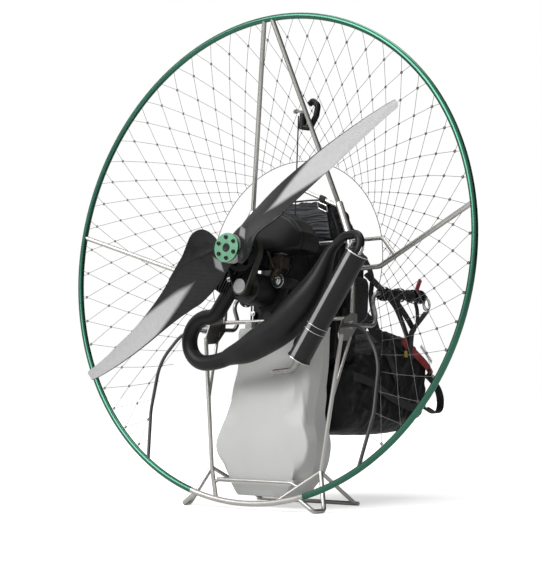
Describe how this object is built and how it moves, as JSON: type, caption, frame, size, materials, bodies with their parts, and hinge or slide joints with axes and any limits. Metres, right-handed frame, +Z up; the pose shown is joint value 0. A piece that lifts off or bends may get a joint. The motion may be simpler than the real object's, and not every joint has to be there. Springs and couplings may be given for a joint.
{
  "type": "paramotor",
  "caption": "Back-worn engine unit with a pusher propeller in a round netted cage, fuel tank, tuned exhaust, swing arms and a seat harness, for powered paragliding.",
  "frame": {"origin": "centre of the bounding box at floor level, as the unit stands parked on its feet", "axes": "+X to the right as seen from the propeller side, +Y from the propeller towards the pilot, +Z up"},
  "size_m": [1.438, 0.8177, 1.4419],
  "materials": {
    "titanium": "satin",
    "hoop_tube": "satin anodised",
    "anodised_plate": "anodised",
    "tank_plastic": "matte",
    "black_plastic": "matte",
    "cap_plastic": "matte",
    "cast_alloy": "cast",
    "bright_alloy": "machined",
    "bronze_alloy": "cast, brown",
    "black_exhaust": "heat-resistant satin",
    "bright_steel": "brushed",
    "chrome_steel": "polished",
    "rubber_black": "matte",
    "carbon": "gloss",
    "harness_fabric": "matte",
    "webbing": "matte",
    "rope_fabric": "matte"
  },
  "bodies": {
    "chassis": {"hoop_lower_left": "hoop_tube", "hoop_lower_right": "hoop_tube", "hoop_upper_left": "hoop_tube", "hoop_upper_right": "hoop_tube", "hoop_base": "titanium", "upright_left": "titanium", "upright_right": "titanium", "top_brace": "titanium", "top_spar_left": "titanium", "top_spar_right": "titanium", "cross_tubes": "titanium", "side_spar_left": "titanium", "side_spar_right": "titanium", "leg_left": "titanium", "leg_right": "titanium", "foot_loop_left": "titanium", "foot_loop_right": "titanium", "foot_struts": "titanium", "rear_crossbar": "titanium", "front_cross_tube": "titanium", "front_tubes": "titanium", "hip_plate_left": "titanium", "hip_plate_right": "titanium", "net_rod_left": "cast_alloy", "net_rod_right": "cast_alloy", "fuel_tank": "tank_plastic", "fuel_cap": "cap_plastic", "crankcase": "cast_alloy", "cylinder": "cast_alloy", "cylinder_head": "cast_alloy", "pulley_carrier": "cast_alloy", "airbox": "black_plastic", "carburettor": "bronze_alloy", "recoil_starter": "black_plastic", "engine_plate": "bright_alloy", "rubber_mounts": "rubber_black", "drive_belt": "rubber_black", "exhaust_header": "black_exhaust", "exhaust_chamber": "black_exhaust", "return_bend": "black_exhaust", "silencer": "black_exhaust", "silencer_band": "bright_steel", "tail_pipe": "chrome_steel", "harness_back": "harness_fabric", "harness_seat": "harness_fabric", "starter_guide": "titanium", "starter_grip": "black_plastic", "starter_rope": "rope_fabric"},
    "propeller_unit": {"propeller": "carbon", "hub_plate": "anodised_plate", "large_pulley": "cast_alloy"},
    "crank": {"small_pulley": "bright_steel"},
    "arm_left": {"swing_arm_left": "titanium", "arm_sleeve_left": "rubber_black", "hang_ring_left": "bright_steel", "hang_strap_left": "webbing"},
    "arm_right": {"swing_arm_right": "titanium", "arm_sleeve_right": "rubber_black", "hang_ring_right": "bright_steel", "hang_strap_right": "webbing"}
  },
  "joints": [
    {"name": "propeller_spin", "type": "hinge", "parent": "chassis", "child": "propeller_unit", "pos_m": [0, -0.2531, 0.725], "axis": [0, 0.9971, -0.0765], "continuous": true},
    {"name": "crank_spin", "type": "hinge", "parent": "chassis", "child": "crank", "pos_m": [0, -0.26076, 0.62529], "axis": [0, 0.9971, -0.0765], "continuous": true},
    {"name": "arm_left_swing", "type": "hinge", "parent": "chassis", "child": "arm_left", "pos_m": [-0.256, -0.16356, 0.51954], "axis": [1, 0, 0], "range_deg": [0, 24]},
    {"name": "arm_right_swing", "type": "hinge", "parent": "chassis", "child": "arm_right", "pos_m": [0.256, -0.16356, 0.51954], "axis": [1, 0, 0], "range_deg": [0, 24]}
  ],
  "couplings": [
    {"joint": "crank_spin", "follows": "propeller_spin", "ratio": 2.7619}
  ]
}
